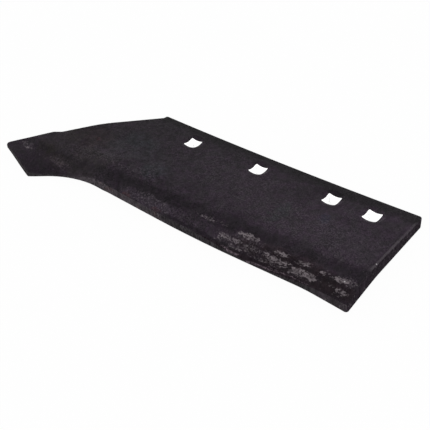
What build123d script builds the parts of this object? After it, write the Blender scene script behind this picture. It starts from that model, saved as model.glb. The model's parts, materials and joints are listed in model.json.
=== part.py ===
"""Left-hand plough share with a beak nose, one piece of rolled and forged steel.

The share is worked out in its bolting frame: the origin is the bolt hole nearest the nose, +X runs along
the bolt row to the wing end, +Y to the back edge that meets the mouldboard, and +Z comes out of the soil
face. At the end it is laid on the ground as it would come to rest. Sizes are in millimetres and degrees.
"""

import math
import os

from build123d import *

# Bolt row
bolt_square = 13.0
bolt_corner_radius = 0.9
nose_pitch = 80.0
middle_pitch = 80.0
wing_pitch = 40.0
dish_diameter = 23.0
dish_cone_angle = 131.0

# Rolled bar, square to the bolt row
back_thickness = 10.6
underside_taper = 2.7
row_to_crease = 70.0
crease_half_width = 10.0
flange_angle = 28.0
row_to_heel = 52.0
heel_half_width = 6.0
heel_angle = 9.2

# Outline, seen square to the soil face
last_hole_to_wing_end = 35.0
row_to_back_edge = 20.0
first_hole_to_hollow = 110.0
hollow_at_ear = 3.2
hollow_at_wing = 1.8
wing_corner_radius = 2.5
row_to_throat = 90.3
first_hole_to_throat = 74.5
throat_radius = 150.0
first_hole_to_belly = 85.0
belly_depth = 4.8
belly_radius = 1500.0
wing_flare_length = 40.0
wing_flare_start = 0.9
wing_flare_end = 3.3
wing_flare_radius = 200.0
wing_point_radius = 2.5
nose_front_angle = 25.5
nose_front_length = 54.0
nose_corner_radius = 2.5
nose_end_angle = 16.3
nose_end_length = 55.2
tip_radius = 3.5
first_hole_to_landside = 74.8
landside_angle = 45.3
landside_length = 106.0
landside_step = 4.2
step_length = 6.0
step_radius = 6.0
ear_length = 4.5
ear_foot_radius = 3.0
ear_radius = 2.5

# Forged nose
first_hole_to_droop = 30.0
droop_run = 75.0
droop_angle = 10.0
row_to_droop = 28.0
droop_half_width = 10.0
first_hole_to_fade = 60.0
flange_run = 110.0
nose_flange_angle = 13.0
heel_run = 65.0
nose_heel_angle = 12.3
tip_run = 50.0
tip_heel_angle = 5.0
nose_section_count = 10

# Rounding of the sheared edge on the soil side
soil_edge_radius = 1.5

# Spare metal round the outline before it is sheared
spare = 15.0

# Finding the corners it rests on: about how far it leans back, and how near a corner its foot lies
resting_lean = 7.0
foot_reach = 8.0


def slope(angle):
    """Fall for each millimetre of run at an angle."""
    return math.tan(math.radians(angle))


def fade(x, start, run, before, after):
    """A size that eases from one value to another over a run towards the nose."""
    t = min(max((-start - x) / run, 0.0), 1.0)
    return before + (after - before) * t * t * (3.0 - 2.0 * t)


def bend(corner, half_width, slope_behind, slope_ahead):
    """Start, control point and end of a rounded bend, ahead being towards the cutting edge."""
    y, z = corner
    behind = (y + half_width, z + slope_behind * half_width)
    ahead = (y - half_width, z - slope_ahead * half_width)
    return behind, corner, ahead


ear_back_y = row_to_back_edge + hollow_at_ear
wing_back_y = row_to_back_edge + hollow_at_wing
rear_y = ear_back_y + spare
front_y = -row_to_throat - nose_front_length * slope(nose_front_angle) - spare
hole_x = [0.0, nose_pitch, nose_pitch + middle_pitch, nose_pitch + middle_pitch + wing_pitch]
wing_x = hole_x[-1] + last_hole_to_wing_end
nose_x = -first_hole_to_throat - nose_front_length - nose_end_length
deep = -6.0 * back_thickness


def under_soil_face(x, drooped):
    """Everything under the soil face at one place along the row: flat, drooping, then the flange."""
    droop = fade(x, first_hole_to_droop, droop_run, 0.0, slope(droop_angle))
    flange = fade(x, first_hole_to_fade, flange_run, slope(flange_angle), slope(nose_flange_angle))
    crease_z = -(row_to_crease - row_to_droop) * droop
    front_z = crease_z - (-row_to_crease - front_y) * flange
    crease = bend((-row_to_crease, crease_z), crease_half_width, droop, flange)
    if drooped:
        fall = bend((-row_to_droop, 0.0), droop_half_width, 0.0, droop)
        rim = Line((rear_y, 0.0), fall[0]) + Bezier(*fall) + Line(fall[2], crease[0])
    else:
        rim = Curve() + Line((rear_y, 0.0), crease[0])
    rim += Bezier(*crease)
    rim += Polyline(crease[2], (front_y, front_z), (front_y, deep), (rear_y, deep), (rear_y, 0.0))
    return Plane((x, 0, 0), x_dir=(0, 1, 0), z_dir=(1, 0, 0)) * make_face(rim)


def under_ground_face(x):
    """Everything under the underside at one place along the row: a slight taper, then the heel."""
    heel = fade(x, first_hole_to_fade, heel_run, slope(heel_angle), slope(nose_heel_angle))
    heel = fade(x, first_hole_to_fade + heel_run, tip_run, heel, slope(tip_heel_angle))
    taper = slope(underside_taper)
    rear_z = -back_thickness + (rear_y - row_to_back_edge) * taper
    heel_z = -back_thickness - (row_to_back_edge + row_to_heel) * taper
    front_z = heel_z - (-row_to_heel - front_y) * heel
    knee = bend((-row_to_heel, heel_z), heel_half_width, taper, heel)
    rim = Line((rear_y, rear_z), knee[0]) + Bezier(*knee)
    rim += Polyline(knee[2], (front_y, front_z), (front_y, deep), (rear_y, deep), (rear_y, rear_z))
    return Plane((x, 0, 0), x_dir=(0, 1, 0), z_dir=(1, 0, 0)) * make_face(rim)


def rolled_and_forged(bar_section, nose_sections):
    """The straight bar from its section, joined to the forged nose through its sections."""
    bar = extrude(bar_section, wing_x + spare + first_hole_to_droop)
    return bar + loft(nose_sections)


def outline():
    """The sheared outline: back edge, wing end, cutting edge, nose and landside."""
    lean = 1.0 / slope(landside_angle)
    ear_y = ear_back_y - ear_length
    ear_x = ear_y * lean - first_hole_to_landside
    step_y = ear_y - landside_length * math.sin(math.radians(landside_angle))
    step_x = step_y * lean - first_hole_to_landside
    low_x = step_x - landside_step - step_length * math.cos(math.radians(landside_angle))
    low_y = step_y - step_length * math.sin(math.radians(landside_angle))
    throat_x = -first_hole_to_throat
    throat_y = -row_to_throat
    corner_x = throat_x - nose_front_length * math.cos(math.radians(nose_front_angle))
    corner_y = throat_y - nose_front_length * math.sin(math.radians(nose_front_angle))
    tip_x = corner_x - nose_end_length * math.cos(math.radians(nose_end_angle))
    tip_y = corner_y + nose_end_length * math.sin(math.radians(nose_end_angle))
    flare_x = wing_x - wing_flare_length
    rounded_corners = [
        ((wing_x, wing_back_y), wing_corner_radius),
        ((wing_x, throat_y - wing_flare_end), wing_point_radius),
        ((flare_x, throat_y - wing_flare_start), wing_flare_radius),
        ((first_hole_to_belly, throat_y - belly_depth), belly_radius),
        ((throat_x, throat_y), throat_radius),
        ((corner_x, corner_y), nose_corner_radius),
        ((tip_x, tip_y), tip_radius),
        ((low_x, low_y), step_radius),
        ((step_x, step_y), step_radius),
        ((ear_x, ear_y), ear_foot_radius),
        ((ear_x, ear_back_y), ear_radius),
    ]
    corners = [place for place, radius in rounded_corners]
    hollow = (first_hole_to_hollow, row_to_back_edge)
    face = make_face(Polyline(*corners) + ThreePointArc(corners[-1], hollow, corners[0]))
    for place, radius in rounded_corners:
        face = fillet(face.vertices().sort_by_distance(place)[0], radius)
    return face


def bolt_hole():
    """A square punched hole whose mouth is dished for the bolt head."""
    shank = extrude(RectangleRounded(bolt_square, bolt_square, bolt_corner_radius), spare)
    shank += mirror(shank, Plane.XY)
    above = 1.0
    radius = dish_diameter / 2.0 + above * slope(dish_cone_angle / 2.0)
    height = radius / slope(dish_cone_angle / 2.0)
    return shank + Pos(0, 0, above - height / 2.0) * Cone(0.0, radius, height)


def rim_edges(body):
    """The edges where the soil face meets the sheared outline, without the holes."""
    edges = []
    for edge in body.edges():
        middle = edge @ 0.5
        in_hole = any(math.hypot(middle.X - x, middle.Y) < dish_diameter for x in hole_x)
        sides = [face for face in body.faces() if any(edge.is_same(side) for side in face.edges())]
        rises = sorted(face.normal_at(middle).Z for face in sides)
        if not in_hole and len(rises) == 2 and abs(rises[0]) < 0.1 and rises[1] > 0.6:
            edges.append(edge)
    return edges


def share():
    """The whole share in its bolting frame."""
    reach = spare - nose_x - first_hole_to_droop
    gap = reach / (nose_section_count - 1)
    stations = [-first_hole_to_droop - gap * i for i in range(nose_section_count)]
    soil_bar = under_soil_face(stations[0], False)
    soil = rolled_and_forged(soil_bar, [under_soil_face(x, True) for x in stations])
    ground = rolled_and_forged(under_ground_face(stations[0]), [under_ground_face(x) for x in stations])
    blank = Pos(0, 0, deep + spare) * extrude(outline(), -deep)
    body = (blank & soil) - ground
    body = fillet(rim_edges(body), soil_edge_radius)
    for x in hole_x:
        body -= Pos(x, 0, 0) * bolt_hole()
    return body


def feet(body):
    """The three lowest places that the share rests on: nose corner, wing corner and ear."""
    nose_corner = (
        -first_hole_to_throat - nose_front_length * math.cos(math.radians(nose_front_angle)),
        -row_to_throat - nose_front_length * math.sin(math.radians(nose_front_angle)),
    )
    ear = (-first_hole_to_landside + ear_back_y, ear_back_y)
    found = []
    for x, y in (nose_corner, (wing_x, wing_back_y), ear):
        near = [point for point in body.vertices() if math.hypot(point.X - x, point.Y - y) < foot_reach]
        lowest = min(near, key=lambda point: point.Z - slope(resting_lean) * point.Y)
        found.append(Vector(*lowest))
    return found


def ground_plane(body):
    """The ground under the resting share, with X still along the bolt row."""
    nose_foot, wing_foot, ear_foot = feet(body)
    up = (wing_foot - nose_foot).cross(ear_foot - nose_foot).normalized()
    return Plane(origin=nose_foot, x_dir=(1, 0, 0), z_dir=up)


def laid_down(body):
    """The share as it rests, with the bottom centre of its bounding box at the origin."""
    lying = ground_plane(body).to_local_coords(body)
    box = lying.bounding_box()
    return Pos(-box.center().X, -box.center().Y, -box.min.Z) * lying


if __name__ == "__main__":
    os.makedirs("parts", exist_ok=True)
    export_step(laid_down(share()), "parts/share.step")
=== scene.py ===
"""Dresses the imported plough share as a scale-dark forging with a scuffed cutting edge, then lights and frames it."""

from __future__ import annotations

import json
import logging
import math
from dataclasses import dataclass, field
from enum import Enum
from typing import Callable, ClassVar

import bmesh
import bpy
from mathutils import Matrix, Vector

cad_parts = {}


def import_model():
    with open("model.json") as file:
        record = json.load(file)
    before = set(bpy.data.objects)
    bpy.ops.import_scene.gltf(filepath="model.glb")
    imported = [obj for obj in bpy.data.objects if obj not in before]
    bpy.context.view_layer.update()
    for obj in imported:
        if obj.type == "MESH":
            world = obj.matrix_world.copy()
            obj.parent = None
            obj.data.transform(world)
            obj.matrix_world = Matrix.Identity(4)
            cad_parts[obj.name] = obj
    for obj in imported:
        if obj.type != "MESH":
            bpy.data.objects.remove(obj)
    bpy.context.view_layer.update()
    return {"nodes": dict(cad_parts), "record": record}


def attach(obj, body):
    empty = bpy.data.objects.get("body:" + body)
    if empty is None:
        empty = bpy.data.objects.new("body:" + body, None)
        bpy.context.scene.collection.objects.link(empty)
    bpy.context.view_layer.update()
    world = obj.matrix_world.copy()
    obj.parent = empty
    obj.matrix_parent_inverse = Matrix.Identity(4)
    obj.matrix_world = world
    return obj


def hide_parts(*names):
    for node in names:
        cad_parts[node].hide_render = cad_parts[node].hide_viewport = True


LOG = logging.getLogger("plough_share")
MM = 0.001


class Finish(Enum):
    """The finishes that the share wears."""

    MILL_SCALE = "mill_scale"
    SHEARED_EDGE = "sheared_edge"
    PUNCHED_STEEL = "punched_steel_painted_glow"


@dataclass(frozen=True)
class BoltingFrame:
    """The share's own frame: X along the bolt row, Z out of the soil face, origin at the nose hole."""

    origin: Vector
    turn: Matrix
    hole_x: tuple[float, ...]

    @classmethod
    def from_record(cls, record: dict) -> "BoltingFrame":
        """Read the frame from the four bolt holes that the record states.

        Args:
            record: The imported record.

        Returns:
            The bolting frame, in metres, with the holes' places along X.
        """
        holes = [m for m in record["mounts"] if m["name"].startswith("bolt_hole_")]
        places = [Vector(hole["pos_m"]) for hole in holes]
        out = Vector(holes[0]["axis"]).normalized()
        along = (places[-1] - places[0]).normalized()
        across = out.cross(along)
        turn = Matrix((along, across, out)).transposed()
        steps = tuple((place - places[0]).dot(along) for place in places)
        return cls(origin=places[0], turn=turn, hole_x=steps)

    def to_row(self, point_mm: tuple[float, float, float]) -> Vector:
        """Carry a point from this frame, in millimetres, to the shared frame, in metres."""
        return self.origin + self.turn @ (Vector(point_mm) * MM)

    def from_row(self, point: Vector) -> Vector:
        """Carry a point from the shared frame, in metres, to this frame, in millimetres."""
        return (self.turn.transposed() @ (point - self.origin)) / MM


@dataclass(frozen=True)
class StudioView:
    """The viewpoint of the photograph, in the bolting frame and millimetres."""

    place: tuple[float, float, float] = (431.53, -451.12, 380.51)
    right: tuple[float, float, float] = (0.76542, 0.64152, -0.05086)
    down: tuple[float, float, float] = (0.35704, -0.4891, -0.7958)
    ahead: tuple[float, float, float] = (-0.5354, 0.59097, -0.60341)
    focal_over_width: float = 742.18 / 430.0
    sensor_mm: float = 36.0

    def build(self, frame: BoltingFrame) -> bpy.types.Object:
        """Add the camera.

        Args:
            frame: The bolting frame that the viewpoint was fitted in.

        Returns:
            The camera object.
        """
        data = bpy.data.cameras.new("studio_camera")
        data.sensor_width = self.sensor_mm
        data.lens = self.focal_over_width * self.sensor_mm
        data.clip_start = 0.01
        data.clip_end = 50.0
        camera = bpy.data.objects.new("studio_camera", data)
        bpy.context.collection.objects.link(camera)
        axes = (Vector(self.right), -Vector(self.down), -Vector(self.ahead))
        turn = Matrix([frame.turn @ axis for axis in axes]).transposed()
        camera.matrix_world = Matrix.Translation(frame.to_row(self.place)) @ turn.to_4x4()
        bpy.context.scene.camera = camera
        return camera


class NodeTree:
    """A thin hand for adding and joining shader nodes."""

    def __init__(self, tree: bpy.types.NodeTree) -> None:
        """Keep the tree that the nodes are added to."""
        self.tree = tree

    def add(self, kind: str, **settings: object) -> bpy.types.Node:
        """Add a node of a kind and set its plain properties.

        Args:
            kind: The node's type name without the ShaderNode prefix.
            **settings: Properties to set on the node.

        Returns:
            The new node.
        """
        node = self.tree.nodes.new(kind if kind.startswith("Node") else "ShaderNode" + kind)
        for name, value in settings.items():
            setattr(node, name, value)
        return node

    def feed(self, node: bpy.types.Node, name: str | int, value: object) -> None:
        """Give an input socket a value, or join it to an output socket."""
        socket = node.inputs[name]
        if isinstance(value, bpy.types.NodeSocket):
            self.tree.links.new(value, socket)
        else:
            socket.default_value = value

    def math(self, operation: str, *values: object, clamp: bool = False) -> bpy.types.NodeSocket:
        """Add a Math node.

        Args:
            operation: The Math node's operation.
            *values: Numbers or sockets for its inputs, in order.
            clamp: Whether the result is kept between 0 and 1.

        Returns:
            The output socket.
        """
        node = self.add("Math", operation=operation, use_clamp=clamp)
        for index, value in enumerate(values):
            self.feed(node, index, value)
        return node.outputs[0]

    def ramp(self, value: object, low: float, high: float, start: float = 0.0, end: float = 1.0) -> bpy.types.NodeSocket:
        """Ease a value from one range into another and hold it there.

        Args:
            value: The number or socket to map.
            low: The value at which the result is start.
            high: The value at which the result is end.
            start: The result at low.
            end: The result at high.

        Returns:
            The output socket.
        """
        node = self.add("MapRange", interpolation_type="SMOOTHSTEP", clamp=True)
        for name, number in (("From Min", low), ("From Max", high), ("To Min", start), ("To Max", end)):
            self.feed(node, name, number)
        self.feed(node, "Value", value)
        return node.outputs["Result"]

    def noise(
        self,
        vector: bpy.types.NodeSocket,
        size: float,
        detail: float = 3.0,
        rough: float = 0.5,
        warp: float = 0.0,
    ) -> bpy.types.NodeSocket:
        """Add a Noise Texture whose blotches are about a size across.

        Args:
            vector: The coordinate socket, in millimetres.
            size: The blotch size in millimetres.
            detail: The number of finer layers.
            rough: How strong the finer layers are.
            warp: How much the blotches are smeared.

        Returns:
            The noise value, about 0.5 on average.
        """
        node = self.add("TexNoise", noise_dimensions="3D")
        self.feed(node, "Vector", vector)
        self.feed(node, "Scale", 1.0 / size)
        self.feed(node, "Detail", detail)
        self.feed(node, "Roughness", rough)
        self.feed(node, "Distortion", warp)
        return node.outputs["Fac"]

    def mix(self, amount: object, first: object, second: object, blend: str = "MIX") -> bpy.types.NodeSocket:
        """Mix two colours.

        Args:
            amount: How much of the second colour, from 0 to 1.
            first: The first colour or socket.
            second: The second colour or socket.
            blend: The Mix node's blend type.

        Returns:
            The colour output socket.
        """
        node = self.add("Mix", data_type="RGBA", blend_type=blend)
        self.feed(node, 0, amount)
        self.feed(node, 6, first)
        self.feed(node, 7, second)
        return node.outputs[2]


def srgb(red: float, green: float, blue: float) -> tuple[float, float, float, float]:
    """Turn a colour as seen on screen, 0 to 255, into the linear one that nodes take."""

    def linear(value: float) -> float:
        share = value / 255.0
        return share / 12.92 if share <= 0.04045 else ((share + 0.055) / 1.055) ** 2.4

    return linear(red), linear(green), linear(blue), 1.0


def plate_place(nodes: NodeTree, frame: BoltingFrame) -> bpy.types.NodeSocket:
    """Turn the object's coordinates into bolting-frame millimetres.

    Args:
        nodes: The tree to add the nodes to.
        frame: The bolting frame.

    Returns:
        The coordinate socket.
    """
    plate = nodes.add("Mapping", vector_type="TEXTURE")
    nodes.feed(plate, "Vector", nodes.add("TexCoord").outputs["Object"])
    nodes.feed(plate, "Location", frame.origin)
    nodes.feed(plate, "Rotation", frame.turn.to_euler())
    nodes.feed(plate, "Scale", (MM, MM, MM))
    return plate.outputs["Vector"]


def stretched(nodes: NodeTree, place: bpy.types.NodeSocket, scale: tuple[float, float, float]) -> bpy.types.NodeSocket:
    """Scale a coordinate, so that a pattern read from it is drawn out.

    Args:
        nodes: The tree to add the node to.
        place: The coordinate socket.
        scale: The scale of each axis, under 1 where the pattern is drawn out.

    Returns:
        The scaled coordinate socket.
    """
    mapping = nodes.add("Mapping", vector_type="POINT")
    nodes.feed(mapping, "Vector", place)
    nodes.feed(mapping, "Scale", scale)
    return mapping.outputs["Vector"]


def facing(
    nodes: NodeTree, direction: Vector, low: float, high: float, most: float = 1.0
) -> bpy.types.NodeSocket:
    """The mask of the skin that faces a direction.

    Args:
        nodes: The tree to add the mask to.
        direction: The direction, in the shared frame.
        low: The cosine at which the mask is 0.
        high: The cosine at which the mask is full.
        most: The full mask's value.

    Returns:
        The mask socket.
    """
    rise = nodes.add("VectorMath", operation="DOT_PRODUCT")
    nodes.feed(rise, 0, nodes.add("NewGeometry").outputs["Normal"])
    nodes.feed(rise, 1, direction)
    return nodes.ramp(rise.outputs["Value"], low, high, 0.0, most)


class ForgedGrain:
    """The mottled, finely pitted skin that rolled and forged steel keeps, as a shared node group."""

    GROUP = "forged_grain"
    BROAD_MM = 17.0
    FINE_MM = 3.4
    PIT_MM = 1.9
    GRIT_MM = 1.1
    SANDY_MM = 34.0

    @classmethod
    def group(cls) -> bpy.types.NodeTree:
        """Find the node group, or build it the first time.

        Returns:
            The group, with the input Place in millimetres and the outputs Tone, Pits and Height.
        """
        found = bpy.data.node_groups.get(cls.GROUP)
        if found is not None:
            return found
        group = bpy.data.node_groups.new(cls.GROUP, "ShaderNodeTree")
        group.interface.new_socket("Place", in_out="INPUT", socket_type="NodeSocketVector")
        for name in ("Tone", "Pits", "Height"):
            group.interface.new_socket(name, in_out="OUTPUT", socket_type="NodeSocketFloat")
        nodes = NodeTree(group)
        place = nodes.add("NodeGroupInput").outputs["Place"]
        broad = nodes.noise(place, cls.BROAD_MM, 6.0, 0.66, 1.6)
        fine = nodes.noise(place, cls.FINE_MM, 4.0, 0.65)
        specks = nodes.noise(place, cls.PIT_MM, 2.0, 0.5)
        pits = nodes.ramp(specks, 0.58, 0.72)
        sandy = nodes.ramp(nodes.noise(place, cls.SANDY_MM, 2.0, 0.5), 0.38, 0.62, 0.35, 1.3)
        grit = nodes.ramp(nodes.noise(place, cls.GRIT_MM, 2.0, 0.6), 0.3, 0.7, -0.4, 0.4)
        grit = nodes.math("MULTIPLY_ADD", grit, sandy, 1.0)
        tone = nodes.math("MULTIPLY", nodes.ramp(broad, 0.32, 0.68, 0.76, 1.24), nodes.ramp(fine, 0.28, 0.72, 0.76, 1.24))
        tone = nodes.math("MULTIPLY", nodes.math("MULTIPLY", tone, grit), nodes.ramp(pits, 0.0, 1.0, 1.05, 0.6))
        lumps = nodes.math("MULTIPLY_ADD", broad, 0.6, fine)
        height = nodes.math("SUBTRACT", lumps, nodes.math("MULTIPLY", pits, 0.55))
        output = nodes.add("NodeGroupOutput")
        nodes.feed(output, "Tone", tone)
        nodes.feed(output, "Pits", pits)
        nodes.feed(output, "Height", height)
        return group


@dataclass(frozen=True)
class Scuff:
    """A pale rubbed place that runs along the row, in bolting-frame millimetres."""

    start: float
    end: float
    row: float
    half_height: float
    strength: float

    def mask(self, nodes: NodeTree, x: bpy.types.NodeSocket, y: bpy.types.NodeSocket) -> bpy.types.NodeSocket:
        """Add the mask of this place, from already ragged coordinates.

        Args:
            nodes: The tree to add the mask to.
            x: The place along the row.
            y: The place across the row.

        Returns:
            The mask socket, from 0 to this place's strength.
        """
        middle = (self.start + self.end) / 2.0
        half_length = max((self.end - self.start) / 2.0 - self.half_height, 0.1)
        along = nodes.math("ABSOLUTE", nodes.math("SUBTRACT", x, middle))
        along = nodes.math("MAXIMUM", nodes.math("SUBTRACT", along, half_length), 0.0)
        across = nodes.math("SUBTRACT", y, self.row)
        away = nodes.math("SQRT", nodes.math("ADD", nodes.math("MULTIPLY", along, along), nodes.math("MULTIPLY", across, across)))
        return nodes.ramp(away, self.half_height * 1.25, self.half_height * 0.55, 0.0, self.strength)


@dataclass(frozen=True)
class Patch:
    """A soft oval place on the soil face, in bolting-frame millimetres."""

    centre: tuple[float, float]
    reach: tuple[float, float]
    strength: float

    def mask(self, nodes: NodeTree, x: bpy.types.NodeSocket, y: bpy.types.NodeSocket) -> bpy.types.NodeSocket:
        """Add the mask of this place, from already ragged coordinates.

        Args:
            nodes: The tree to add the mask to.
            x: The place along the row.
            y: The place across the row.

        Returns:
            The mask socket, from 0 to this place's strength.
        """
        along = nodes.math("DIVIDE", nodes.math("SUBTRACT", x, self.centre[0]), self.reach[0])
        across = nodes.math("DIVIDE", nodes.math("SUBTRACT", y, self.centre[1]), self.reach[1])
        away = nodes.math("ADD", nodes.math("MULTIPLY", along, along), nodes.math("MULTIPLY", across, across))
        return nodes.ramp(away, 1.25, 0.25, 0.0, self.strength)


def widest(nodes: NodeTree, masks: list[bpy.types.NodeSocket]) -> bpy.types.NodeSocket:
    """Join masks by their highest value.

    Args:
        nodes: The tree to add the nodes to.
        masks: The masks to join.

    Returns:
        The joined mask socket.
    """
    total = masks[0]
    for mask in masks[1:]:
        total = nodes.math("MAXIMUM", total, mask)
    return total


SCUFFS = (
    Scuff(71.0, 78.5, -79.4, 1.5, 0.34),
    Scuff(80.0, 96.0, -79.6, 1.5, 0.62),
    Scuff(96.5, 109.0, -79.0, 1.1, 0.44),
    Scuff(120.5, 141.0, -79.0, 2.5, 0.88),
    Scuff(139.0, 147.0, -80.6, 1.4, 0.35),
    Scuff(158.0, 171.0, -80.6, 1.7, 0.90),
    Scuff(180.0, 192.0, -80.0, 1.6, 0.86),
    Scuff(200.5, 208.5, -80.3, 1.6, 0.90),
    Scuff(210.5, 219.0, -80.7, 1.1, 0.60),
    Scuff(214.5, 226.0, -79.2, 2.0, 1.00),
    Scuff(222.0, 232.5, -79.2, 2.2, 0.50),
    Scuff(104.5, 126.0, -87.0, 2.0, 0.78),
    Scuff(103.0, 112.0, -91.0, 1.8, 0.60),
    Scuff(124.0, 148.0, -86.2, 1.9, 0.50),
    Scuff(129.0, 142.0, -88.8, 2.0, 0.56),
    Scuff(150.0, 176.0, -86.6, 2.9, 0.84),
    Scuff(178.5, 203.0, -87.0, 2.9, 0.84),
    Scuff(203.0, 219.0, -86.8, 2.0, 0.34),
    Scuff(218.5, 230.0, -87.4, 2.8, 0.72),
    Scuff(-158.0, -151.0, -87.2, 1.3, 0.55),
    Scuff(-149.0, -141.0, -90.5, 1.2, 0.62),
    Scuff(117.0, 133.0, -91.4, 1.5, 0.60),
    Scuff(140.0, 170.0, -91.6, 1.0, 0.50),
    Scuff(152.0, 197.0, -90.4, 0.9, 0.44),
)

NICKS = (
    Scuff(222.2, 223.6, -79.2, 0.6, 0.5),
    Scuff(233.9, 235.5, -52.4, 0.7, 0.6),
)

DARK_MARKS = (
    Scuff(-109.0, -99.0, -47.0, 1.6, 0.45),
    Scuff(-73.0, -60.0, -66.5, 2.0, 0.50),
    Scuff(-76.0, -63.0, -34.5, 1.6, 0.40),
    Scuff(-74.0, -65.0, -19.0, 1.6, 0.30),
    Scuff(-42.0, -29.0, -35.0, 1.3, 0.42),
    Scuff(-19.0, -6.0, -55.0, 1.7, 0.42),
    Scuff(-4.0, 7.0, -41.0, 1.4, 0.45),
    Scuff(-140.0, -120.0, -80.0, 2.4, 0.16),
)

WALL_SCUFFS = (
    Scuff(112.0, 122.0, -14.2, 1.5, 0.55),
    Scuff(117.0, 132.0, -16.0, 1.5, 0.78),
    Scuff(139.0, 172.0, -16.6, 1.2, 0.62),
    Scuff(160.0, 198.0, -13.4, 0.9, 0.50),
    Scuff(128.0, 129.6, -15.8, 0.8, 1.00),
)

SPECKLED = (
    Patch((22.0, -88.0), (36.0, 6.0), 1.0),
    Patch((62.0, -87.0), (24.0, 5.0), 0.55),
    Patch((-38.0, -93.0), (34.0, 3.0), 0.7),
    Patch((-12.0, -69.0), (26.0, 6.5), 0.6),
    Patch((0.0, -56.0), (10.0, 12.0), 0.5),
    Patch((-66.0, -66.0), (34.0, 8.0), 0.45),
    Patch((-101.0, -88.0), (14.0, 4.5), 0.6),
    Patch((-150.5, -88.5), (10.0, 4.2), 1.0),
    Patch((130.0, -85.5), (30.0, 7.0), 0.6),
    Patch((150.0, -44.0), (85.0, 24.0), 0.42),
    Patch((205.0, -60.0), (28.0, 9.0), 0.5),
    Patch((222.0, -79.0), (12.0, 5.0), 0.8),
    Patch((65.0, -28.0), (26.0, 20.0), 0.3),
)

# Darker patches: those on the flange, which faces away from the light, are painted shade; the others are grime.
GRIME_AND_PAINTED_SHADE = (
    Patch((184.0, -87.5), (72.0, 11.0), 0.60),
    Patch((226.0, -72.0), (16.0, 9.0), 0.42),
    Patch((122.0, -93.0), (90.0, 2.6), 0.5),
    Patch((-112.0, -102.0), (46.0, 12.0), 0.32),
    Patch((-36.0, -84.0), (52.0, 9.0), 0.22),
    Patch((60.0, 15.0), (16.0, 5.0), 0.3),
    Patch((48.0, 3.0), (5.0, 5.0), 0.3),
    Patch((213.0, 8.0), (8.0, 6.0), 0.28),
    Patch((150.0, 10.0), (27.0, 12.0), 0.42),
    Patch((137.0, -5.0), (15.0, 20.0), 0.30),
)

STAINS = (
    (Patch((-92.0, -50.0), (34.0, 20.0), 0.45), (50.0, 38.0, 40.0)),
    (Patch((-68.0, -72.0), (36.0, 9.0), 0.45), (47.0, 42.0, 41.0)),
    (Patch((-118.0, -62.0), (20.0, 26.0), 0.55), (43.0, 40.0, 40.0)),
    (Patch((-92.0, -88.0), (46.0, 9.0), 0.50), (42.0, 36.0, 36.0)),
    (Patch((-128.0, -80.0), (16.0, 8.0), 0.40), (44.0, 40.0, 33.0)),
    (Patch((-40.0, -40.0), (38.0, 20.0), 0.45), (42.0, 42.0, 47.0)),
    (Patch((2.0, -58.0), (17.0, 14.0), 0.50), (40.0, 45.0, 49.0)),
    (Patch((137.0, -42.0), (8.0, 18.0), 0.45), (40.0, 46.0, 46.0)),
    (Patch((172.0, -29.0), (5.0, 6.0), 0.50), (40.0, 42.0, 58.0)),
    (Patch((95.0, -20.0), (26.0, 15.0), 0.45), (50.0, 42.0, 50.0)),
    (Patch((200.0, -42.0), (38.0, 18.0), 0.45), (49.0, 43.0, 50.0)),
    (Patch((22.0, -88.0), (38.0, 6.0), 0.60), (56.0, 49.0, 58.0)),
    (Patch((-104.0, -88.0), (16.0, 4.5), 0.60), (60.0, 52.0, 55.0)),
    (Patch((-85.0, -47.0), (5.0, 3.0), 0.60), (62.0, 36.0, 42.0)),
    (Patch((-44.0, -28.0), (24.0, 14.0), 0.50), (38.0, 41.0, 46.0)),
    (Patch((182.0, -86.0), (70.0, 11.0), 0.60), (48.0, 35.0, 39.0)),
    (Patch((-2.0, -91.5), (5.0, 3.0), 0.42), (72.0, 46.0, 44.0)),
    (Patch((38.0, -92.5), (6.0, 2.4), 0.40), (70.0, 44.0, 43.0)),
)


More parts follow.
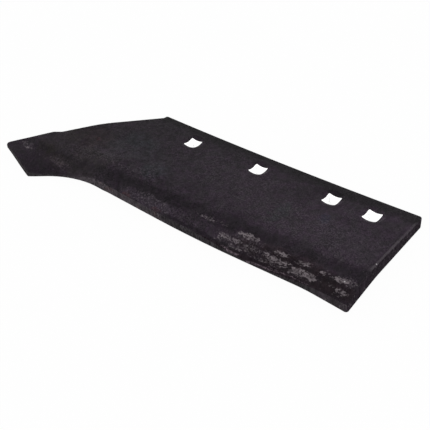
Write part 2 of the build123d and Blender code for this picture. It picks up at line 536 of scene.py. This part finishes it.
@dataclass(frozen=True)
class MillScale:
    """Dark mill scale with the tints and the pale scuffs of use, with painted shade along the crease, the back edge
    and the landside, painted light on the dishes and painted highlights on the nose rim and the wing end.
    """

    colour: tuple[float, float, float] = (42.5, 33.5, 43.5)
    # Painted shade along the back edge.
    back_edge_shade_colour: tuple[float, float, float] = (26.0, 23.5, 26.0)
    dim_colour: tuple[float, float, float] = (39.0, 36.5, 39.0)
    scuff_colour: tuple[float, float, float] = (114.0, 106.0, 110.0)
    speck_colour: tuple[float, float, float] = (98.0, 90.0, 97.0)
    nick_colour: tuple[float, float, float] = (214.0, 210.0, 212.0)
    # Pale edge wear, also a painted highlight on the wing end's rim.
    worn_and_highlight_colour: tuple[float, float, float] = (120.0, 114.0, 118.0)
    # Painted highlight on the nose rim.
    nose_rim_highlight_colour: tuple[float, float, float] = (62.0, 61.0, 58.0)
    # Painted light on the dishes round the holes.
    dish_painted_light: float = 0.4
    roughness: float = 0.56
    bare_roughness: float = 0.42
    specular: float = 0.07
    bump_depth: float = 0.00022
    # Strength of the painted shade along the crease.
    crease_painted_shade: float = 0.36

    def crease(
        self, nodes: NodeTree, x: bpy.types.NodeSocket, y: bpy.types.NodeSocket
    ) -> bpy.types.NodeSocket:
        """Painted shade: a dark band that runs along the crease.

        Args:
            nodes: The tree to add the mask to.
            x: The place along the row.
            y: The place across the row, already ragged.

        Returns:
            The mask socket.
        """
        rise = nodes.ramp(x, 90.0, 238.0, 0.0, 7.0)
        fall = nodes.ramp(x, 90.0, -45.0, 0.0, 6.0)
        line = nodes.math("SUBTRACT", nodes.math("SUBTRACT", rise, fall), 76.5)
        away = nodes.math("ABSOLUTE", nodes.math("SUBTRACT", y, line))
        return nodes.ramp(away, 9.0, 2.0, 0.0, self.crease_painted_shade)

    def broad_painted_shade(
        self, nodes: NodeTree, x: bpy.types.NodeSocket, y: bpy.types.NodeSocket
    ) -> bpy.types.NodeSocket:
        """Painted shade that thickens towards the landside and the back edge, with a faint layer on the nose side.

        Args:
            nodes: The tree to add the mask to.
            x: The place along the row, already ragged.
            y: The place across the row, already ragged.

        Returns:
            The mask socket.
        """
        landside = nodes.ramp(nodes.math("SUBTRACT", x, y), 40.0, -70.0, 0.0, 0.25)
        landside = nodes.math("MULTIPLY", landside, nodes.ramp(y, -62.0, -38.0))
        rear = nodes.math("MULTIPLY", nodes.ramp(y, -12.0, 10.0, 0.0, 0.16), nodes.ramp(x, 205.0, 185.0))
        thin = nodes.math("MULTIPLY", nodes.ramp(x, 150.0, 118.0, 0.0, 0.09), nodes.ramp(y, -72.0, -60.0))
        return nodes.math("ADD", nodes.math("MAXIMUM", landside, rear), thin)

    def tints(
        self,
        nodes: NodeTree,
        place: bpy.types.NodeSocket,
        x: bpy.types.NodeSocket,
        y: bpy.types.NodeSocket,
    ) -> bpy.types.NodeSocket:
        """The colour of the scale before its grain and its wear, with painted shade along the back edge.

        Args:
            nodes: The tree to add the colour to.
            place: The bolting-frame place.
            x: The place along the row, already ragged.
            y: The place across the row, already ragged.

        Returns:
            The colour socket.
        """
        # Painted shade: the scale darkens into the band along the back edge.
        back = nodes.ramp(nodes.math("SUBTRACT", y, nodes.ramp(x, 20.0, 170.0, 3.0, 0.0)), 3.0, 14.0, 0.0, 0.9)
        drab = nodes.ramp(nodes.noise(place, 10.0, 4.0, 0.6), 0.4, 0.6, 0.0, 0.55)
        colour = nodes.mix(drab, srgb(*self.colour), srgb(*self.dim_colour))
        colour = nodes.mix(back, colour, srgb(*self.back_edge_shade_colour))
        patchy = nodes.ramp(nodes.noise(place, 7.0, 3.0, 0.65), 0.36, 0.6, 0.35, 1.0)
        for patch, tint in STAINS:
            amount = nodes.math("MULTIPLY", patch.mask(nodes, x, y), patchy)
            colour = nodes.mix(amount, colour, srgb(*tint))
        return colour

    def material(self, frame: BoltingFrame) -> bpy.types.Material:
        """Build the material.

        Args:
            frame: The bolting frame whose millimetres the patterns are laid out in.

        Returns:
            The material.
        """
        made = bpy.data.materials.new(Finish.MILL_SCALE.value)
        made.use_nodes = True
        made.node_tree.nodes.clear()
        nodes = NodeTree(made.node_tree)
        place = plate_place(nodes, frame)
        grain = nodes.add("Group")
        grain.node_tree = ForgedGrain.group()
        nodes.feed(grain, "Place", place)
        apart = nodes.add("SeparateXYZ")
        nodes.feed(apart, "Vector", place)
        x, y = apart.outputs["X"], apart.outputs["Y"]
        drift = nodes.math("SUBTRACT", nodes.noise(place, 26.0, 3.0, 0.6), 0.5)
        ragged = nodes.math("SUBTRACT", nodes.noise(place, 5.0, 4.0, 0.7), 0.5)
        loose_x = nodes.math("MULTIPLY_ADD", drift, 30.0, nodes.math("MULTIPLY_ADD", ragged, 16.0, x))
        loose_y = nodes.math("MULTIPLY_ADD", drift, -16.0, nodes.math("MULTIPLY_ADD", ragged, 14.0, y))
        near_y = nodes.math("MULTIPLY_ADD", drift, 7.0, nodes.math("MULTIPLY_ADD", ragged, 6.0, y))
        colour = self.tints(nodes, place, loose_x, loose_y)
        grime_and_shade = widest(nodes, [patch.mask(nodes, loose_x, near_y) for patch in GRIME_AND_PAINTED_SHADE])
        torn_x = nodes.math("MULTIPLY_ADD", ragged, 14.0, x)
        torn_y = nodes.math("MULTIPLY_ADD", ragged, 7.0, y)
        grime_and_shade = widest(nodes, [grime_and_shade] + [mark.mask(nodes, torn_x, torn_y) for mark in DARK_MARKS])
        # Darkening from grime, dark marks and painted shade along the crease and towards the landside and the back
        # edge.
        marks_and_painted_shade = widest(nodes, [grime_and_shade, self.crease(nodes, x, near_y), self.broad_painted_shade(nodes, loose_x, near_y)])
        # Painted shade and light: the tone runs from 0.80 at x = -20 mm and towards the nose up to 1.04 at x = 150 mm
        # and beyond.
        even = nodes.ramp(x, -20.0, 150.0, 0.80, 1.04)
        calm = nodes.math("MULTIPLY", nodes.ramp(x, -115.0, -90.0, 0.8, 1.2), nodes.ramp(x, -20.0, 150.0, 1.0, 0.74))
        grainy = nodes.math("MULTIPLY_ADD", nodes.math("SUBTRACT", grain.outputs["Tone"], 1.0), calm, 1.0)
        tone = nodes.math("MULTIPLY", nodes.math("MULTIPLY", grainy, even), nodes.math("SUBTRACT", 1.0, marks_and_painted_shade))
        toned = nodes.add("VectorMath", operation="SCALE")
        nodes.feed(toned, 0, colour)
        nodes.feed(toned, "Scale", tone)
        colour = toned.outputs["Vector"]
        specks = self.specks(nodes, place, loose_x, near_y)
        colour = nodes.mix(specks, colour, srgb(*self.speck_colour))
        upward = facing(nodes, frame.turn.col[2], 0.3, 0.7)
        scuffed = nodes.math("MULTIPLY", self.scuffing(nodes, place, x, y), upward)
        colour = nodes.mix(scuffed, colour, srgb(*self.scuff_colour))
        # Painted light: faces tilted off the soil face behind y = -13 mm, the dishes round the holes among them, are
        # lightened 1.4 times.
        rise = facing(nodes, frame.turn.col[2], 0.93, 0.965, -1.0)
        dish_light_mask = nodes.math("MULTIPLY", nodes.math("ADD", rise, 1.0), nodes.ramp(y, -13.5, -12.5))
        lit = nodes.add("VectorMath", operation="SCALE")
        nodes.feed(lit, 0, colour)
        nodes.feed(lit, "Scale", nodes.math("MULTIPLY_ADD", dish_light_mask, self.dish_painted_light, 1.0))
        colour = lit.outputs["Vector"]
        # Painted highlight: the front-facing rim at the nose is lightened.
        nose_rim_highlight_mask = nodes.math("MULTIPLY", facing(nodes, -frame.turn.col[1], 0.5, 0.75), nodes.ramp(x, -112.0, -122.0))
        colour = nodes.mix(nodes.math("MULTIPLY", nose_rim_highlight_mask, 0.7), colour, srgb(*self.nose_rim_highlight_colour))
        # Edge wear with a painted highlight: the rounded edges, most of all the wing end's, are made pale.
        worn = self.edge_wear_and_highlight(nodes, place, x, y)
        colour = nodes.mix(worn, colour, srgb(*self.worn_and_highlight_colour))
        nicked = nodes.math("MULTIPLY", widest(nodes, [nick.mask(nodes, x, y) for nick in NICKS]), upward)
        colour = nodes.mix(nicked, colour, srgb(*self.nick_colour))
        bare = widest(nodes, [scuffed, worn, nicked])
        shader = nodes.add("BsdfPrincipled")
        nodes.feed(shader, "Base Color", colour)
        rough = nodes.ramp(grain.outputs["Tone"], 0.5, 1.5, self.roughness + 0.06, self.roughness - 0.06)
        polish = nodes.math("MULTIPLY", bare, self.roughness - self.bare_roughness)
        nodes.feed(shader, "Roughness", nodes.math("SUBTRACT", rough, polish))
        nodes.feed(shader, "Metallic", nodes.math("MULTIPLY", bare, 0.5))
        nodes.feed(shader, "Specular IOR Level", self.specular)
        bump = nodes.add("Bump")
        nodes.feed(bump, "Strength", 1.0)
        nodes.feed(bump, "Distance", self.bump_depth)
        nodes.feed(bump, "Height", nodes.math("MULTIPLY_ADD", scuffed, 0.4, grain.outputs["Height"]))
        nodes.feed(shader, "Normal", bump.outputs["Normal"])
        output = nodes.add("OutputMaterial")
        nodes.feed(output, "Surface", shader.outputs["BSDF"])
        return made

    def specks(
        self,
        nodes: NodeTree,
        place: bpy.types.NodeSocket,
        x: bpy.types.NodeSocket,
        y: bpy.types.NodeSocket,
    ) -> bpy.types.NodeSocket:
        """Where fine pale specks of bare metal show through the scale.

        Args:
            nodes: The tree to add the mask to.
            place: The bolting-frame place.
            x: The place along the row, already ragged.
            y: The place across the row, already ragged.

        Returns:
            The mask socket.
        """
        where = widest(nodes, [patch.mask(nodes, x, y) for patch in SPECKLED])
        dots = nodes.ramp(nodes.noise(place, 1.5, 3.0, 0.6), 0.5, 0.66)
        return nodes.math("MULTIPLY", nodes.math("MULTIPLY", where, dots), 0.55)

    def scuffing(
        self,
        nodes: NodeTree,
        place: bpy.types.NodeSocket,
        x: bpy.types.NodeSocket,
        y: bpy.types.NodeSocket,
    ) -> bpy.types.NodeSocket:
        """Where the scale is rubbed through to pale metal along the flange.

        Args:
            nodes: The tree to add the mask to.
            place: The bolting-frame place.
            x: The place along the row.
            y: The place across the row.

        Returns:
            The mask socket.
        """
        long_place = stretched(nodes, place, (0.5, 1.0, 1.0))
        edge = nodes.math("SUBTRACT", nodes.noise(long_place, 3.0, 4.0, 0.75), 0.5)
        torn_x = nodes.math("MULTIPLY_ADD", edge, 22.0, x)
        torn_y = nodes.math("MULTIPLY_ADD", edge, 9.5, y)
        total = widest(nodes, [scuff.mask(nodes, torn_x, torn_y) for scuff in SCUFFS])
        coarse = nodes.ramp(nodes.noise(long_place, 4.2, 3.0, 0.6), 0.36, 0.56, 0.55, 1.0)
        flecks = nodes.math("SUBTRACT", nodes.noise(stretched(nodes, place, (0.7, 1.0, 1.0)), 1.4, 4.0, 0.7), 0.5)
        speckled = nodes.math("MULTIPLY_ADD", flecks, 3.2, nodes.math("MULTIPLY", total, 0.82))
        broken = nodes.ramp(speckled, 0.32, 0.86)
        depth = nodes.ramp(total, 0.0, 1.0, 0.35, 1.0)
        return nodes.math("MULTIPLY", nodes.math("MULTIPLY", broken, depth), coarse)

    def edge_wear_and_highlight(
        self,
        nodes: NodeTree,
        place: bpy.types.NodeSocket,
        x: bpy.types.NodeSocket,
        y: bpy.types.NodeSocket,
    ) -> bpy.types.NodeSocket:
        """Where the rounded edge of the wing end is made pale, as wear and a painted highlight, and the other edges a
        little.

        Args:
            nodes: The tree to add the mask to.
            place: The bolting-frame place.
            x: The place along the row.
            y: The place across the row.

        Returns:
            The mask socket.
        """
        edges = nodes.add("Attribute", attribute_name=Share.WEAR_AND_HIGHLIGHT_ATTRIBUTE).outputs["Fac"]
        patchy = nodes.ramp(nodes.noise(place, 9.0, 4.0, 0.7), 0.42, 0.66, 0.1, 1.0)
        rim = nodes.math("MULTIPLY", nodes.math("MULTIPLY", nodes.ramp(edges, 0.5, 1.0), patchy), 0.06)
        along_end = nodes.math("MULTIPLY", nodes.ramp(y, -64.0, -59.0), nodes.ramp(y, 14.0, 7.0))
        ribbed = nodes.ramp(nodes.noise(place, 4.0, 3.0, 0.6), 0.36, 0.6, 0.5, 1.0)
        end = nodes.math("MULTIPLY", nodes.ramp(x, 232.8, 234.2, 0.0, 0.24), nodes.math("MULTIPLY", along_end, ribbed))
        return nodes.math("MAXIMUM", rim, end)


@dataclass(frozen=True)
class ShearedEdge:
    """The matt cut faces round the outline, drawn down by the shear and gone dark, with a painted highlight along the
    top of the wing end.
    """

    colour: tuple[float, float, float] = (31.0, 27.0, 30.0)
    front_colour: tuple[float, float, float] = (49.0, 46.0, 48.5)
    soiled_colour: tuple[float, float, float] = (35.0, 28.5, 33.0)
    rubbed_colour: tuple[float, float, float] = (96.0, 85.0, 92.0)
    throat_colour: tuple[float, float, float] = (68.0, 62.5, 67.0)
    corner_colour: tuple[float, float, float] = (55.0, 49.0, 54.0)
    wing_end_colour: tuple[float, float, float] = (38.0, 31.0, 38.0)
    # Painted highlight at the top of the wing end's cut face.
    wing_edge_highlight_colour: tuple[float, float, float] = (62.0, 54.0, 62.0)
    rust_colour: tuple[float, float, float] = (70.0, 52.0, 50.0)
    speck_colour: tuple[float, float, float] = (104.0, 100.0, 100.0)
    roughness: float = 0.75
    specular: float = 0.02
    bump_depth: float = 0.00025

    def material(self, frame: BoltingFrame) -> bpy.types.Material:
        """Build the material.

        Args:
            frame: The bolting frame.

        Returns:
            The material.
        """
        made = bpy.data.materials.new(Finish.SHEARED_EDGE.value)
        made.use_nodes = True
        made.node_tree.nodes.clear()
        nodes = NodeTree(made.node_tree)
        place = plate_place(nodes, frame)
        apart = nodes.add("SeparateXYZ")
        nodes.feed(apart, "Vector", place)
        x, y, z = apart.outputs["X"], apart.outputs["Y"], apart.outputs["Z"]
        grain = nodes.add("Group")
        grain.node_tree = ForgedGrain.group()
        nodes.feed(grain, "Place", stretched(nodes, place, (1.0, 1.0, 0.4)))
        along, across = frame.turn.col[0], frame.turn.col[1]
        drift = nodes.noise(place, 12.0, 4.0, 0.65)
        throat = nodes.math("MULTIPLY", nodes.ramp(x, -95.0, -55.0), nodes.ramp(x, 66.0, 30.0))
        corner = nodes.math("MULTIPLY", nodes.ramp(x, 203.0, 210.0), nodes.ramp(drift, 0.4, 0.55, 0.2, 0.9))
        pale = nodes.math("MULTIPLY", throat, nodes.ramp(drift, 0.36, 0.58, 0.35, 1.0))
        front = nodes.mix(pale, srgb(*self.front_colour), srgb(*self.throat_colour))
        front = nodes.mix(corner, front, srgb(*self.corner_colour))
        pale = nodes.math("MAXIMUM", pale, corner)
        rust = nodes.math("MULTIPLY", nodes.ramp(nodes.noise(place, 8.0, 3.0, 0.6), 0.56, 0.66, 0.0, 0.3), throat)
        front = nodes.mix(rust, front, srgb(*self.rust_colour))
        front = self.soiled(nodes, place, x, z, front)
        colour = nodes.mix(facing(nodes, -across, 0.5, 0.8), srgb(*self.colour), front)
        # Painted highlight: the top strip of the wing end's cut face, above the crease, is lighter.
        upper = nodes.math("MULTIPLY", nodes.ramp(z, -2.4, -0.8), nodes.ramp(y, -64.0, -59.0))
        wing_end = nodes.mix(upper, srgb(*self.wing_end_colour), srgb(*self.wing_edge_highlight_colour))
        colour = nodes.mix(facing(nodes, along, 0.5, 0.8), colour, wing_end)
        dots = nodes.ramp(nodes.noise(place, 1.6, 3.0, 0.6), 0.56, 0.68, 0.0, 0.5)
        colour = nodes.mix(nodes.math("MULTIPLY", dots, pale), colour, srgb(*self.speck_colour))
        toned = nodes.add("VectorMath", operation="SCALE")
        nodes.feed(toned, 0, colour)
        nodes.feed(toned, "Scale", grain.outputs["Tone"])
        shader = nodes.add("BsdfPrincipled")
        nodes.feed(shader, "Base Color", toned.outputs["Vector"])
        rough = nodes.ramp(grain.outputs["Tone"], 0.5, 1.5, self.roughness + 0.08, self.roughness - 0.08)
        nodes.feed(shader, "Roughness", rough)
        nodes.feed(shader, "Specular IOR Level", self.specular)
        bump = nodes.add("Bump")
        nodes.feed(bump, "Strength", 1.0)
        nodes.feed(bump, "Distance", self.bump_depth)
        nodes.feed(bump, "Height", grain.outputs["Height"])
        nodes.feed(shader, "Normal", bump.outputs["Normal"])
        output = nodes.add("OutputMaterial")
        nodes.feed(output, "Surface", shader.outputs["BSDF"])
        return made

    def soiled(
        self,
        nodes: NodeTree,
        place: bpy.types.NodeSocket,
        x: bpy.types.NodeSocket,
        z: bpy.types.NodeSocket,
        clean: bpy.types.NodeSocket,
    ) -> bpy.types.NodeSocket:
        """Darken and scuff the upper part of the cutting edge, where use has worn it like the soil face.

        Args:
            nodes: The tree to add the colour to.
            place: The bolting-frame place.
            x: The place along the row.
            z: The place out of the soil face.
            clean: The colour of the unworn cut face.

        Returns:
            The colour socket.
        """
        aside = nodes.math("ABSOLUTE", nodes.math("SUBTRACT", x, 147.0))
        aside = nodes.math("MAXIMUM", nodes.math("SUBTRACT", aside, 8.0), 0.0)
        line = nodes.math("MULTIPLY_ADD", aside, 0.095, -19.0)
        edge = nodes.math("SUBTRACT", nodes.noise(place, 5.0, 4.0, 0.7), 0.5)
        above = nodes.math("SUBTRACT", nodes.math("MULTIPLY_ADD", edge, 2.0, z), line)
        colour = nodes.mix(nodes.ramp(above, -0.3, 0.6), clean, srgb(*self.soiled_colour))
        torn_x = nodes.math("MULTIPLY_ADD", edge, 16.0, x)
        torn_z = nodes.math("MULTIPLY_ADD", edge, 4.0, z)
        tilted = nodes.math("MULTIPLY_ADD", nodes.math("SUBTRACT", nodes.math("MAXIMUM", x, 139.0), 156.0), -0.1, torn_z)
        rubbed = widest(nodes, [scuff.mask(nodes, torn_x, torn_z) for scuff in WALL_SCUFFS[:2] + WALL_SCUFFS[3:]])
        rubbed = nodes.math("MAXIMUM", rubbed, WALL_SCUFFS[2].mask(nodes, torn_x, tilted))
        flecks = nodes.math("SUBTRACT", nodes.noise(place, 1.4, 4.0, 0.7), 0.5)
        rubbed = nodes.ramp(nodes.math("MULTIPLY_ADD", flecks, 2.6, rubbed), 0.3, 0.95)
        return nodes.mix(rubbed, colour, srgb(*self.rubbed_colour))


@dataclass(frozen=True)
class PunchedSteelPaintedGlow:
    """The bare, bright walls that the punch leaves in the bolt holes, lightened further by a painted glow."""

    colour: tuple[float, float, float] = (254.0, 254.0, 253.0)
    torn_colour: tuple[float, float, float] = (250.0, 250.0, 249.0)
    roughness: float = 0.08
    torn_roughness: float = 0.16
    # Strength of the painted glow of the hole walls.
    painted_glow: float = 0.2

    def material(self, frame: BoltingFrame) -> bpy.types.Material:
        """Build the material.

        Args:
            frame: The bolting frame.

        Returns:
            The material.
        """
        made = bpy.data.materials.new(Finish.PUNCHED_STEEL.value)
        made.use_nodes = True
        made.node_tree.nodes.clear()
        nodes = NodeTree(made.node_tree)
        place = plate_place(nodes, frame)
        grain = nodes.add("Group")
        grain.node_tree = ForgedGrain.group()
        nodes.feed(grain, "Place", stretched(nodes, place, (3.0, 3.0, 0.35)))
        torn = nodes.ramp(grain.outputs["Tone"], 0.8, 1.3)
        shader = nodes.add("BsdfPrincipled")
        nodes.feed(shader, "Base Color", nodes.mix(torn, srgb(*self.colour), srgb(*self.torn_colour)))
        nodes.feed(shader, "Metallic", 1.0)
        nodes.feed(shader, "Roughness", nodes.ramp(torn, 0.0, 1.0, self.roughness, self.torn_roughness))
        # Painted light: the hole walls glow faintly, though they are no lamp.
        nodes.feed(shader, "Emission Color", (1.0, 1.0, 1.0, 1.0))
        nodes.feed(shader, "Emission Strength", self.painted_glow)
        bump = nodes.add("Bump")
        nodes.feed(bump, "Strength", 0.6)
        nodes.feed(bump, "Distance", 0.00004)
        nodes.feed(bump, "Height", grain.outputs["Height"])
        nodes.feed(shader, "Normal", bump.outputs["Normal"])
        output = nodes.add("OutputMaterial")
        nodes.feed(output, "Surface", shader.outputs["BSDF"])
        return made


@dataclass
class Share:
    """The forged share: a refined copy of the solid, dressed in its finishes."""

    WEAR_AND_HIGHLIGHT_ATTRIBUTE: ClassVar[str] = "edge_wear_and_highlight"
    SKIN_GROUP: ClassVar[str] = "skin"

    frame: BoltingFrame
    node: bpy.types.Object
    grid_mm: float = 2.5
    along_mm: tuple[float, float] = (-182.0, 234.0)
    across_mm: tuple[float, float] = (-114.0, 24.0)
    underside_round_mm: float = 0.35
    sharp_tip_mm: float = 12.0
    mouth_round_mm: float = 0.3
    hole_half_mm: float = 6.7
    mouth_half_mm: float = 12.0
    smooth_angle: float = 50.0
    upright: float = 0.3
    rim_rise: float = 0.7
    rim_depth: float = 0.12
    waviness_mm: float = 0.3
    pitting_mm: float = 0.2
    piece: bpy.types.Object | None = field(default=None, init=False)

    @property
    def out(self) -> Vector:
        """The direction out of the soil face."""
        return self.frame.turn.col[2]

    def build(self) -> bpy.types.Object:
        """Copy the solid's mesh and refine it.

        Returns:
            The piece that stands for the solid.
        """
        bpy.ops.object.select_all(action="DESELECT")
        piece = self.node.copy()
        piece.data = self.node.data.copy()
        piece.name = "forged_share"
        bpy.context.collection.objects.link(piece)
        piece.parent = None
        piece.matrix_world = Matrix.Identity(4)
        bpy.context.view_layer.objects.active = piece
        piece.select_set(True)
        self.piece = piece
        self.merge()
        self.round_edges(self.underside_rim(), self.underside_round_mm)
        self.round_edges(self.hole_mouths(), self.mouth_round_mm)
        self.cut_grid()
        self.roughen()
        self.mark_edge_turns()
        self.shade()
        return piece

    def merge(self) -> None:
        """Join the loose triangles and take out the lines between level ones."""
        bpy.ops.object.mode_set(mode="EDIT")
        bpy.ops.mesh.select_all(action="SELECT")
        bpy.ops.mesh.remove_doubles(threshold=0.000002)
        bpy.ops.mesh.dissolve_limited(angle_limit=math.radians(0.2))
        bpy.ops.object.mode_set(mode="OBJECT")

    def near_hole(self, point: Vector, half_mm: float) -> bool:
        """Whether a point lies in the square of a given half width round a bolt hole."""
        spot = self.frame.from_row(point)
        beside = any(abs(spot.x - x / MM) < half_mm for x in self.frame.hole_x)
        return beside and abs(spot.y) < half_mm

    def edges_where(self, fits: Callable[[float, float, Vector], bool]) -> list[int]:
        """Find edges by how their two faces stand.

        Args:
            fits: Takes the lower and the higher rise of the two faces, and the edge's middle.

        Returns:
            The edges' indices.
        """
        shell = bmesh.new()
        shell.from_mesh(self.piece.data)
        found = []
        for edge in shell.edges:
            rises = sorted(face.normal.dot(self.out) for face in edge.link_faces)
            middle = (edge.verts[0].co + edge.verts[1].co) / 2.0
            if len(rises) == 2 and fits(rises[0], rises[1], middle):
                found.append(edge.index)
        shell.free()
        return found

    def underside_rim(self) -> list[int]:
        """Find the sheared edge under the outline, short of the thin tip.

        Returns:
            The edges' indices.
        """
        tip_end = self.along_mm[0] + self.sharp_tip_mm

        def fits(low: float, high: float, middle: Vector) -> bool:
            clear = self.frame.from_row(middle).x > tip_end and not self.near_hole(middle, self.mouth_half_mm)
            return low < -0.6 and abs(high) < self.upright and clear

        return self.edges_where(fits)

    def hole_mouths(self) -> list[int]:
        """Find the edges where the square walls meet the dishes.

        Returns:
            The edges' indices.
        """

        def fits(low: float, high: float, middle: Vector) -> bool:
            return abs(low) < self.upright and high > 0.6 and self.near_hole(middle, self.mouth_half_mm)

        return self.edges_where(fits)

    def round_edges(self, edges: list[int], width_mm: float) -> None:
        """Bevel some edges into a small round.

        Args:
            edges: The edges' indices.
            width_mm: The width of the round.
        """
        mesh = self.piece.data
        for part in (mesh.vertices, mesh.edges, mesh.polygons):
            part.foreach_set("select", [False] * len(part))
        for index in edges:
            mesh.edges[index].select = True
        bpy.ops.object.mode_set(mode="EDIT")
        bpy.context.tool_settings.mesh_select_mode = (False, True, False)
        bpy.ops.mesh.bevel(offset=width_mm * MM, segments=2, affect="EDGES", clamp_overlap=False)
        bpy.ops.object.mode_set(mode="OBJECT")

    def cut_grid(self) -> None:
        """Cut the faces into a fine grid along and across the bolt row."""
        along, across = self.frame.turn.col[0], self.frame.turn.col[1]
        bpy.ops.object.mode_set(mode="EDIT")
        for axis, (start, end) in ((along, self.along_mm), (across, self.across_mm)):
            for step in range(int((end - start) / self.grid_mm) + 1):
                place = self.frame.origin + axis * (start + step * self.grid_mm) * MM
                bpy.ops.mesh.select_all(action="SELECT")
                bpy.ops.mesh.bisect(plane_co=place, plane_no=axis)
        bpy.ops.object.mode_set(mode="OBJECT")

    def roughen(self) -> None:
        """Press shallow waves and pits into the skin, inwards only, and hardly at the rim and the holes."""
        group = self.piece.vertex_groups.new(name=self.SKIN_GROUP)
        mesh = self.piece.data
        rim = [face for face in mesh.polygons if abs(self.out.dot(face.normal)) < self.rim_rise]
        on_rim = {index for face in rim for index in face.vertices}
        for vertex in mesh.vertices:
            kept = vertex.index in on_rim or self.near_hole(vertex.co, self.mouth_half_mm)
            group.add([vertex.index], self.rim_depth if kept else 1.0, "REPLACE")
        for name, size, depth in (("waves", 0.045, self.waviness_mm), ("pits", 0.009, self.pitting_mm)):
            clouds = bpy.data.textures.new("forging_" + name, "CLOUDS")
            clouds.noise_scale = size
            clouds.noise_depth = 2
            bpy.ops.object.modifier_add(type="DISPLACE")
            press = self.piece.modifiers[-1]
            press.texture = clouds
            press.texture_coords = "LOCAL"
            press.vertex_group = self.SKIN_GROUP
            press.mid_level = 1.0
            press.strength = depth * MM
            bpy.ops.object.modifier_apply(modifier=press.name)

    def mark_edge_turns(self) -> None:
        """Keep, for each vertex, how sharply the skin turns there, for the pale edge wear and painted highlight."""
        mesh = self.piece.data
        shell = bmesh.new()
        shell.from_mesh(mesh)
        turns = []
        for vertex in shell.verts:
            angles = [edge.calc_face_angle(0.0) for edge in vertex.link_edges]
            turns.append(min(math.degrees(max(angles)) / 35.0, 1.0))
        shell.free()
        wear = mesh.attributes.new(self.WEAR_AND_HIGHLIGHT_ATTRIBUTE, "FLOAT", "POINT")
        wear.data.foreach_set("value", turns)

    def shade(self) -> None:
        """Shade the skin smooth up to its true corners, the flat faces leading."""
        bpy.ops.object.shade_smooth_by_angle(angle=math.radians(self.smooth_angle))
        bpy.ops.object.modifier_add(type="WEIGHTED_NORMAL")
        level = self.piece.modifiers[-1]
        level.mode = "FACE_AREA_WITH_ANGLE"
        level.keep_sharp = True
        bpy.ops.object.modifier_apply(modifier=level.name)

    def dress(self) -> None:
        """Give the piece its finishes: scale, cut edges and punched hole walls with a painted glow."""
        mesh = self.piece.data
        mesh.materials.clear()
        mesh.materials.append(MillScale().material(self.frame))
        mesh.materials.append(ShearedEdge().material(self.frame))
        mesh.materials.append(PunchedSteelPaintedGlow().material(self.frame))
        for face in mesh.polygons:
            if abs(self.out.dot(face.normal)) < self.upright:
                face.material_index = 2 if self.near_hole(face.center, self.hole_half_mm) else 1

    def declare(self) -> None:
        """Tell the frame what the piece rides on and stands for."""
        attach(self.piece, "root")
        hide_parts(self.node.name)


@dataclass
class Studio:
    """The pale floor and the soft light of a plain studio."""

    floor_size: float = 12.0
    floor_tone: float = 0.8
    white_share: float = 0.97
    sky_strength: float = 0.95

    def background_rays(self, nodes: NodeTree) -> bpy.types.NodeSocket:
        """A mask of the rays that should meet a plain white background.

        Args:
            nodes: The tree to add the mask to.

        Returns:
            The mask socket, 1 for camera, glossy and transmission rays.
        """
        path = nodes.add("LightPath")
        seen = nodes.math("MAXIMUM", path.outputs["Is Camera Ray"], path.outputs["Is Glossy Ray"])
        return nodes.math("MAXIMUM", seen, path.outputs["Is Transmission Ray"])

    def floor(self) -> bpy.types.Object:
        """Lay the floor.

        Returns:
            The floor object.
        """
        bpy.ops.object.select_all(action="DESELECT")
        bpy.ops.mesh.primitive_plane_add(size=self.floor_size, location=(0.0, 0.0, 0.0))
        floor = bpy.context.active_object
        floor.name = "studio_floor"
        made = bpy.data.materials.new("studio_floor_white")
        made.use_nodes = True
        made.node_tree.nodes.clear()
        nodes = NodeTree(made.node_tree)
        matt = nodes.add("BsdfDiffuse")
        nodes.feed(matt, "Color", (self.floor_tone, self.floor_tone, self.floor_tone, 1.0))
        glow = nodes.add("Emission")
        nodes.feed(glow, "Color", (1.0, 1.0, 1.0, 1.0))
        nodes.feed(glow, "Strength", 1.0)
        amount = nodes.math("MULTIPLY", self.background_rays(nodes), self.white_share)
        both = nodes.add("MixShader")
        nodes.feed(both, 0, amount)
        nodes.feed(both, 1, matt.outputs[0])
        nodes.feed(both, 2, glow.outputs[0])
        output = nodes.add("OutputMaterial")
        nodes.feed(output, "Surface", both.outputs[0])
        floor.data.materials.append(made)
        return floor

    def sky(self) -> None:
        """Set an even pale world that camera rays see as white."""
        world = bpy.data.worlds.new("studio_world")
        bpy.context.scene.world = world
        world.use_nodes = True
        world.node_tree.nodes.clear()
        nodes = NodeTree(world.node_tree)
        strength = nodes.math("MULTIPLY_ADD", self.background_rays(nodes), 1.0 - self.sky_strength, self.sky_strength)
        light = nodes.add("Background")
        nodes.feed(light, "Color", (1.0, 1.0, 1.0, 1.0))
        nodes.feed(light, "Strength", strength)
        output = nodes.add("OutputWorld")
        nodes.feed(output, "Surface", light.outputs[0])

    def build(self) -> None:
        """Build the floor and the light."""
        self.floor()
        self.sky()
        bpy.context.scene.view_settings.view_transform = "Standard"


def main() -> None:
    """Build the studio and the share, and report each piece."""
    logging.basicConfig(level=logging.INFO, format="%(name)s: %(message)s")
    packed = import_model()
    frame = BoltingFrame.from_record(packed["record"])
    LOG.info("bolt row starts at %s", tuple(round(value, 4) for value in frame.origin))
    StudioView().build(frame)
    share = Share(frame=frame, node=packed["nodes"]["share"])
    share.build()
    share.dress()
    share.declare()
    LOG.info("forged_share: %d faces", len(share.piece.data.polygons))
    Studio().build()


if __name__ == "__main__":
    main()
